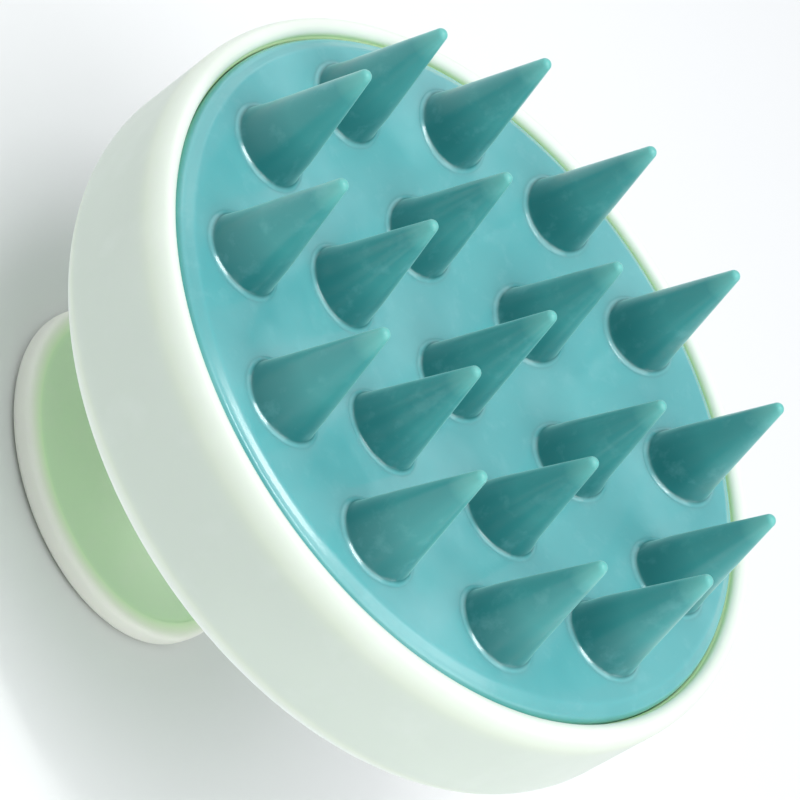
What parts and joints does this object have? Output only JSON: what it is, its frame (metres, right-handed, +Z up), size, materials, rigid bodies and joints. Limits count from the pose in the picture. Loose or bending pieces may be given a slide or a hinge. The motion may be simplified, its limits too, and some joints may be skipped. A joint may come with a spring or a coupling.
{
  "type": "scalp massager brush",
  "caption": "Round shower brush with cone-shaped silicone bristles on a dished pad, leaning on a flared grip that stands on its flat end.",
  "frame": {"origin": "centre of the flat end of the grip, on which the brush stands", "axes": "+Z up the grip's axis, towards the bristles; the head leans 14 degrees towards -Y; X lies along the line about which the head leans"},
  "size_m": [0.0812, 0.0814, 0.0639],
  "materials": {
    "shell_plastic": "satin, slightly translucent",
    "inner_plastic": "matt",
    "pad_silicone": "satin silicone",
    "bristle_silicone": "satin silicone",
    "steel": "plain"
  },
  "bodies": {
    "brush": {"body_shell": "shell_plastic", "backing_plate": "inner_plastic", "plate_screw_1": "steel", "plate_screw_2": "steel", "plate_screw_3": "steel", "silicone_pad": "pad_silicone", "handle_grip": "shell_plastic", "grip_cap": "shell_plastic", "grip_screw": "steel"},
    "bristle_01": {"bristle_01": "bristle_silicone"},
    "bristle_02": {"bristle_02": "bristle_silicone"},
    "bristle_03": {"bristle_03": "bristle_silicone"},
    "bristle_04": {"bristle_04": "bristle_silicone"},
    "bristle_05": {"bristle_05": "bristle_silicone"},
    "bristle_06": {"bristle_06": "bristle_silicone"},
    "bristle_07": {"bristle_07": "bristle_silicone"},
    "bristle_08": {"bristle_08": "bristle_silicone"},
    "bristle_09": {"bristle_09": "bristle_silicone"},
    "bristle_10": {"bristle_10": "bristle_silicone"},
    "bristle_11": {"bristle_11": "bristle_silicone"},
    "bristle_12": {"bristle_12": "bristle_silicone"},
    "bristle_13": {"bristle_13": "bristle_silicone"},
    "bristle_14": {"bristle_14": "bristle_silicone"},
    "bristle_15": {"bristle_15": "bristle_silicone"},
    "bristle_16": {"bristle_16": "bristle_silicone"},
    "bristle_17": {"bristle_17": "bristle_silicone"},
    "bristle_18": {"bristle_18": "bristle_silicone"},
    "bristle_19": {"bristle_19": "bristle_silicone"}
  },
  "joints": [
    {"name": "flex_01", "type": "hinge", "parent": "brush", "child": "bristle_01", "pos_m": [0, 0.00225, 0.04218], "axis": [0, 0.9703, 0.2419], "range_deg": [-20, 20], "stiffness_Nm_per_rad": 0.01},
    {"name": "flex_02", "type": "hinge", "parent": "brush", "child": "bristle_02", "pos_m": [0.01373, 0.00972, 0.04498], "axis": [-0.5, 0.8403, 0.2095], "range_deg": [-20, 20], "stiffness_Nm_per_rad": 0.01},
    {"name": "flex_03", "type": "hinge", "parent": "brush", "child": "bristle_03", "pos_m": [0, 0.01741, 0.04689], "axis": [-1, 0, 0], "range_deg": [-20, 20], "stiffness_Nm_per_rad": 0.01},
    {"name": "flex_04", "type": "hinge", "parent": "brush", "child": "bristle_04", "pos_m": [-0.01373, 0.00972, 0.04498], "axis": [-0.5, -0.8403, -0.2095], "range_deg": [-20, 20], "stiffness_Nm_per_rad": 0.01},
    {"name": "flex_05", "type": "hinge", "parent": "brush", "child": "bristle_05", "pos_m": [-0.01373, -0.00566, 0.04114], "axis": [0.5, -0.8403, -0.2095], "range_deg": [-20, 20], "stiffness_Nm_per_rad": 0.01},
    {"name": "flex_06", "type": "hinge", "parent": "brush", "child": "bristle_06", "pos_m": [0, -0.01335, 0.03923], "axis": [1, 0, 0], "range_deg": [-20, 20], "stiffness_Nm_per_rad": 0.01},
    {"name": "flex_07", "type": "hinge", "parent": "brush", "child": "bristle_07", "pos_m": [0.01373, -0.00566, 0.04114], "axis": [0.5, 0.8403, 0.2095], "range_deg": [-20, 20], "stiffness_Nm_per_rad": 0.01},
    {"name": "flex_08", "type": "hinge", "parent": "brush", "child": "bristle_08", "pos_m": [0.02907, 0.00904, 0.04713], "axis": [-0.2588, 0.9372, 0.2337], "range_deg": [-20, 20], "stiffness_Nm_per_rad": 0.01},
    {"name": "flex_09", "type": "hinge", "parent": "brush", "child": "bristle_09", "pos_m": [0.02128, 0.02214, 0.05039], "axis": [-0.7071, 0.6861, 0.1711], "range_deg": [-20, 20], "stiffness_Nm_per_rad": 0.01},
    {"name": "flex_10", "type": "hinge", "parent": "brush", "child": "bristle_10", "pos_m": [0.00779, 0.0297, 0.05228], "axis": [-0.9659, 0.2511, 0.0626], "range_deg": [-20, 20], "stiffness_Nm_per_rad": 0.01},
    {"name": "flex_11", "type": "hinge", "parent": "brush", "child": "bristle_11", "pos_m": [-0.00779, 0.0297, 0.05228], "axis": [-0.9659, -0.2511, -0.0626], "range_deg": [-20, 20], "stiffness_Nm_per_rad": 0.01},
    {"name": "flex_12", "type": "hinge", "parent": "brush", "child": "bristle_12", "pos_m": [-0.02128, 0.02214, 0.05039], "axis": [-0.7071, -0.6861, -0.1711], "range_deg": [-20, 20], "stiffness_Nm_per_rad": 0.01},
    {"name": "flex_13", "type": "hinge", "parent": "brush", "child": "bristle_13", "pos_m": [-0.02907, 0.00904, 0.04713], "axis": [-0.2588, -0.9372, -0.2337], "range_deg": [-20, 20], "stiffness_Nm_per_rad": 0.01},
    {"name": "flex_14", "type": "hinge", "parent": "brush", "child": "bristle_14", "pos_m": [-0.02907, -0.00607, 0.04336], "axis": [0.2588, -0.9372, -0.2337], "range_deg": [-20, 20], "stiffness_Nm_per_rad": 0.01},
    {"name": "flex_15", "type": "hinge", "parent": "brush", "child": "bristle_15", "pos_m": [-0.02128, -0.01917, 0.04009], "axis": [0.7071, -0.6861, -0.1711], "range_deg": [-20, 20], "stiffness_Nm_per_rad": 0.01},
    {"name": "flex_16", "type": "hinge", "parent": "brush", "child": "bristle_16", "pos_m": [-0.00779, -0.02672, 0.03821], "axis": [0.9659, -0.2511, -0.0626], "range_deg": [-20, 20], "stiffness_Nm_per_rad": 0.01},
    {"name": "flex_17", "type": "hinge", "parent": "brush", "child": "bristle_17", "pos_m": [0.00779, -0.02672, 0.03821], "axis": [0.9659, 0.2511, 0.0626], "range_deg": [-20, 20], "stiffness_Nm_per_rad": 0.01},
    {"name": "flex_18", "type": "hinge", "parent": "brush", "child": "bristle_18", "pos_m": [0.02128, -0.01917, 0.04009], "axis": [0.7071, 0.6861, 0.1711], "range_deg": [-20, 20], "stiffness_Nm_per_rad": 0.01},
    {"name": "flex_19", "type": "hinge", "parent": "brush", "child": "bristle_19", "pos_m": [0.02907, -0.00607, 0.04336], "axis": [0.2588, 0.9372, 0.2337], "range_deg": [-20, 20], "stiffness_Nm_per_rad": 0.01}
  ]
}
